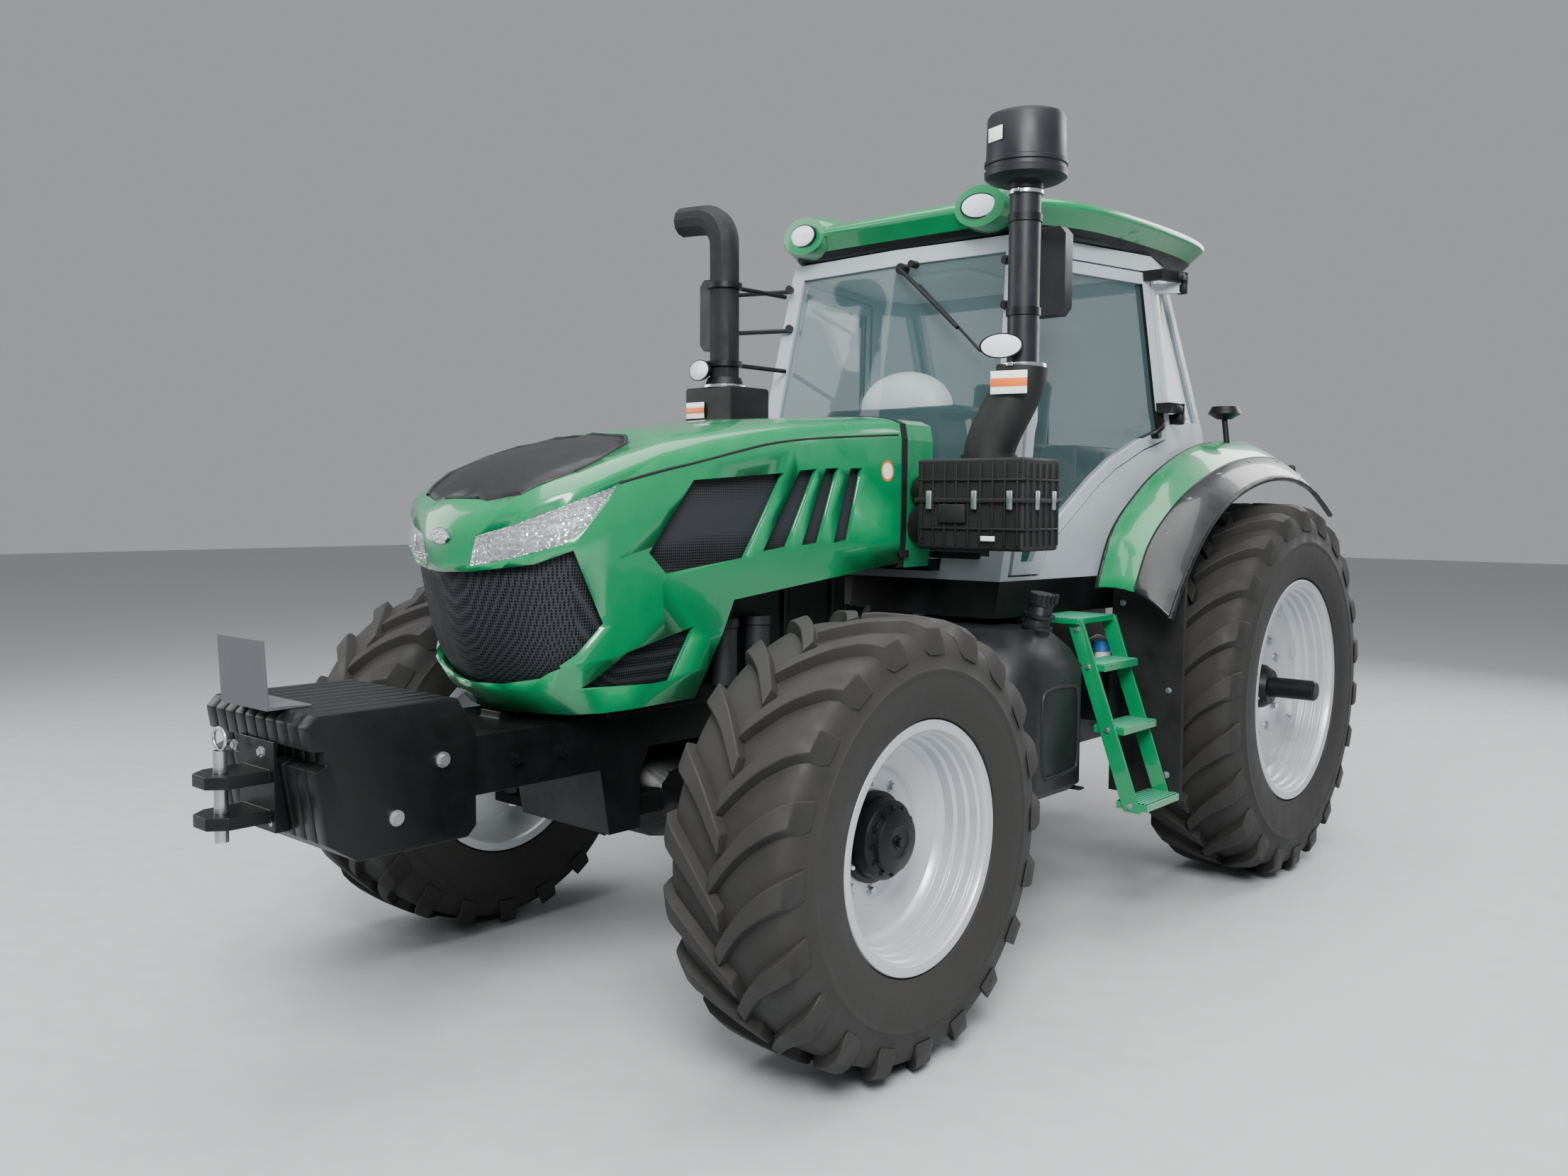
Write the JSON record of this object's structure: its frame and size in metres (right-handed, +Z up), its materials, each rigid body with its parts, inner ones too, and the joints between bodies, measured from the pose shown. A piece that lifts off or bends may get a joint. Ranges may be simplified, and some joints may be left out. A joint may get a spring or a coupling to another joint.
{
  "type": "farm tractor",
  "caption": "Wheeled farm tractor with a closed cab, tilting hood, steered front axle, suitcase ballast with a towing fork, air intake and exhaust stacks, and a rear lift linkage.",
  "frame": {"origin": "centre of the bounding box at floor level, where the tyres stand", "axes": "-Y is forwards, +X is the tractor's left side, +Z is up; +Y runs along the tractor's length towards the rear"},
  "size_m": [2.76, 5.62, 3.135],
  "materials": {
    "green_paint": "glossy emerald paint",
    "black_paint": "black satin paint",
    "charcoal_plastic": "charcoal moulded plastic",
    "black_mesh": "black mesh",
    "tyre_rubber": "matt black rubber",
    "silver_paint": "silver paint",
    "tinted_glass": "clear, faint teal tint",
    "lamp_lens": "clear ribbed lamp cover",
    "seat_cloth": "dark woven cloth",
    "grey_plate": "plain grey plate"
  },
  "bodies": {
    "chassis": {"air_cleaner": "charcoal_plastic", "battery_box": "charcoal_plastic", "cab_frame": "black_paint", "cab_roof": "green_paint", "cowl": "green_paint", "dashboard": "charcoal_plastic", "drawbar": "black_paint", "driver_seat": "seat_cloth", "engine_block": "black_paint", "exhaust_box": "black_paint", "exhaust_stack": "charcoal_plastic", "fender_extension_left": "charcoal_plastic", "fender_extension_right": "charcoal_plastic", "fender_left": "green_paint", "fender_right": "green_paint", "front_axle": "black_paint", "front_frame": "black_paint", "front_hitch": "black_paint", "front_weights": "black_paint", "fuel_tank": "charcoal_plastic", "intake_stack": "charcoal_plastic", "mirror_left": "charcoal_plastic", "mirror_right": "charcoal_plastic", "number_plate": "grey_plate", "quarter_window_left": "tinted_glass", "quarter_window_right": "tinted_glass", "rear_window": "tinted_glass", "steps_left": "green_paint", "steps_right": "green_paint", "transmission": "black_paint", "windscreen": "tinted_glass"},
    "hood": {"hood_shell": "green_paint", "hood_liner": "black_mesh", "hood_vent": "charcoal_plastic", "headlight_left": "lamp_lens", "headlight_right": "lamp_lens"},
    "knuckle_left": {"knuckle_left": "black_paint"},
    "knuckle_right": {"knuckle_right": "black_paint"},
    "front_wheel_left": {"front_left_rim": "silver_paint", "front_left_tyre": "tyre_rubber"},
    "front_wheel_right": {"front_right_rim": "silver_paint", "front_right_tyre": "tyre_rubber"},
    "rear_wheel_left": {"rear_left_rim": "silver_paint", "rear_left_tyre": "tyre_rubber"},
    "rear_wheel_right": {"rear_right_rim": "silver_paint", "rear_right_tyre": "tyre_rubber"},
    "door_left": {"door_frame_left": "black_paint", "door_glass_left": "tinted_glass"},
    "door_right": {"door_frame_right": "black_paint", "door_glass_right": "tinted_glass"},
    "steering_wheel": {"steering_wheel": "black_paint"},
    "lift_arms": {"lift_arms": "black_paint"},
    "lower_link_left": {"lower_link_left": "black_paint"},
    "lower_link_right": {"lower_link_right": "black_paint"}
  },
  "joints": [
    {"name": "steer_left", "type": "hinge", "parent": "chassis", "child": "knuckle_left", "pos_m": [0.76, -1.215, 0.69], "axis": [0, 0, 1], "range_deg": [-40, 40]},
    {"name": "steer_right", "type": "hinge", "parent": "chassis", "child": "knuckle_right", "pos_m": [-0.76, -1.215, 0.69], "axis": [0, 0, 1], "range_deg": [-40, 40]},
    {"name": "front_wheel_spin_left", "type": "hinge", "parent": "knuckle_left", "child": "front_wheel_left", "pos_m": [1.015, -1.215, 0.69], "axis": [1, 0, 0], "continuous": true},
    {"name": "front_wheel_spin_right", "type": "hinge", "parent": "knuckle_right", "child": "front_wheel_right", "pos_m": [-1.015, -1.215, 0.69], "axis": [1, 0, 0], "continuous": true},
    {"name": "rear_wheel_spin_left", "type": "hinge", "parent": "chassis", "child": "rear_wheel_left", "pos_m": [1.08, 1.685, 0.862], "axis": [1, 0, 0], "continuous": true},
    {"name": "rear_wheel_spin_right", "type": "hinge", "parent": "chassis", "child": "rear_wheel_right", "pos_m": [-1.08, 1.685, 0.862], "axis": [1, 0, 0], "continuous": true},
    {"name": "door_hinge_left", "type": "hinge", "parent": "chassis", "child": "door_left", "pos_m": [0.9, 1.215, 2.05], "axis": [0, 0, 1], "range_deg": [0, 75]},
    {"name": "door_hinge_right", "type": "hinge", "parent": "chassis", "child": "door_right", "pos_m": [-0.9, 1.215, 2.05], "axis": [0, 0, -1], "range_deg": [0, 75]},
    {"name": "hood_hinge", "type": "hinge", "parent": "chassis", "child": "hood", "pos_m": [0, -0.244, 2.075], "axis": [-1, 0, 0], "range_deg": [0, 45]},
    {"name": "steering_wheel_turn", "type": "hinge", "parent": "chassis", "child": "steering_wheel", "pos_m": [0, 0.7, 2.06], "axis": [0, 0.5299, 0.848], "range_deg": [-360, 360]},
    {"name": "lift", "type": "hinge", "parent": "chassis", "child": "lift_arms", "pos_m": [0, 1.88, 1.32], "axis": [1, 0, 0], "range_deg": [-15, 30]},
    {"name": "lower_link_pivot_left", "type": "hinge", "parent": "chassis", "child": "lower_link_left", "pos_m": [0.335, 1.9, 0.56], "axis": [1, 0, 0], "range_deg": [-15, 30]},
    {"name": "lower_link_pivot_right", "type": "hinge", "parent": "chassis", "child": "lower_link_right", "pos_m": [-0.335, 1.9, 0.56], "axis": [1, 0, 0], "range_deg": [-15, 30]}
  ],
  "couplings": [
    {"joint": "steer_right", "follows": "steer_left", "ratio": 1},
    {"joint": "steering_wheel_turn", "follows": "steer_left", "ratio": 9},
    {"joint": "lower_link_pivot_left", "follows": "lift", "ratio": 1},
    {"joint": "lower_link_pivot_right", "follows": "lift", "ratio": 1}
  ]
}
